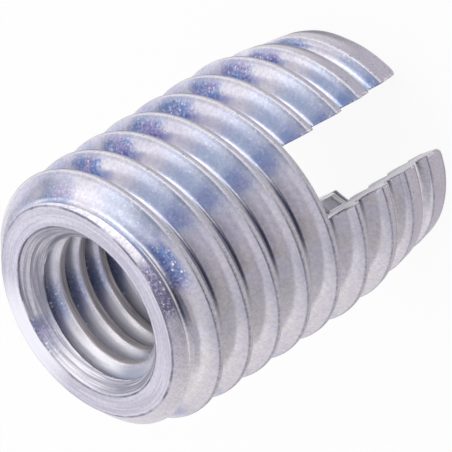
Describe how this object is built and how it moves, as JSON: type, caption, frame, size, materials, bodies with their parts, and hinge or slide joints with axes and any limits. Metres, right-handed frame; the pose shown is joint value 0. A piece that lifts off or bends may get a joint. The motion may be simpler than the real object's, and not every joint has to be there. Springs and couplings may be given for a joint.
{
  "type": "threaded insert",
  "caption": "Slotted self-tapping threaded insert: a sleeve with a coarse outer thread, a threaded bore and a cutting slot across one end.",
  "frame": {"origin": "centre of the slotted end, on the surface that the insert stands on", "axes": "+Z along the bore, out of its mouth at the flush face; X along the slot, Y across it"},
  "size_m": [0.01, 0.01, 0.014],
  "materials": {
    "zinc_plated_steel": "satin"
  },
  "bodies": {
    "root": {"insert": "zinc_plated_steel"}
  },
  "joints": []
}
